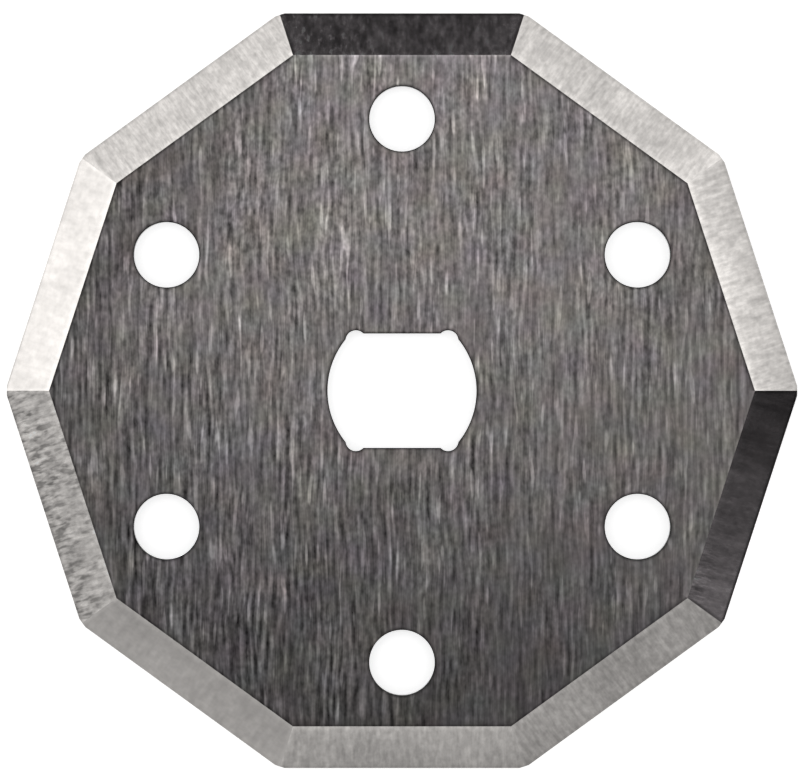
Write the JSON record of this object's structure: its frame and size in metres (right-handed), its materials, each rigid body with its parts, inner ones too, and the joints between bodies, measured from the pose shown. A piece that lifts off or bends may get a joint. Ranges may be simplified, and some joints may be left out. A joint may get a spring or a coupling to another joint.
{
  "type": "rotary cutter blade",
  "caption": "Flat decagonal driven cutting blade, bevelled from both sides to a sharp rim, with a double-D drive hole at its centre and a ring of round pin holes.",
  "frame": {"origin": "on the blade's axis, in the plane of the lower face, which is also the bottom centre of its box", "axes": "+Z along the blade's axis, up and out of the upper face; +X from the axis to a corner of the decagon, along the two flats of the drive hole; +Y across those flats, towards the middle of a cutting edge and along the faces' grinding streaks"},
  "size_m": [0.032, 0.0306, 0.0006],
  "materials": {
    "ground_carbide": "surface-ground sintered tungsten carbide: dark grey faces with straight streaks along Y, lighter bevels with fine grinding marks square to each cutting edge"
  },
  "bodies": {
    "root": {"blade": "ground_carbide"}
  },
  "joints": []
}
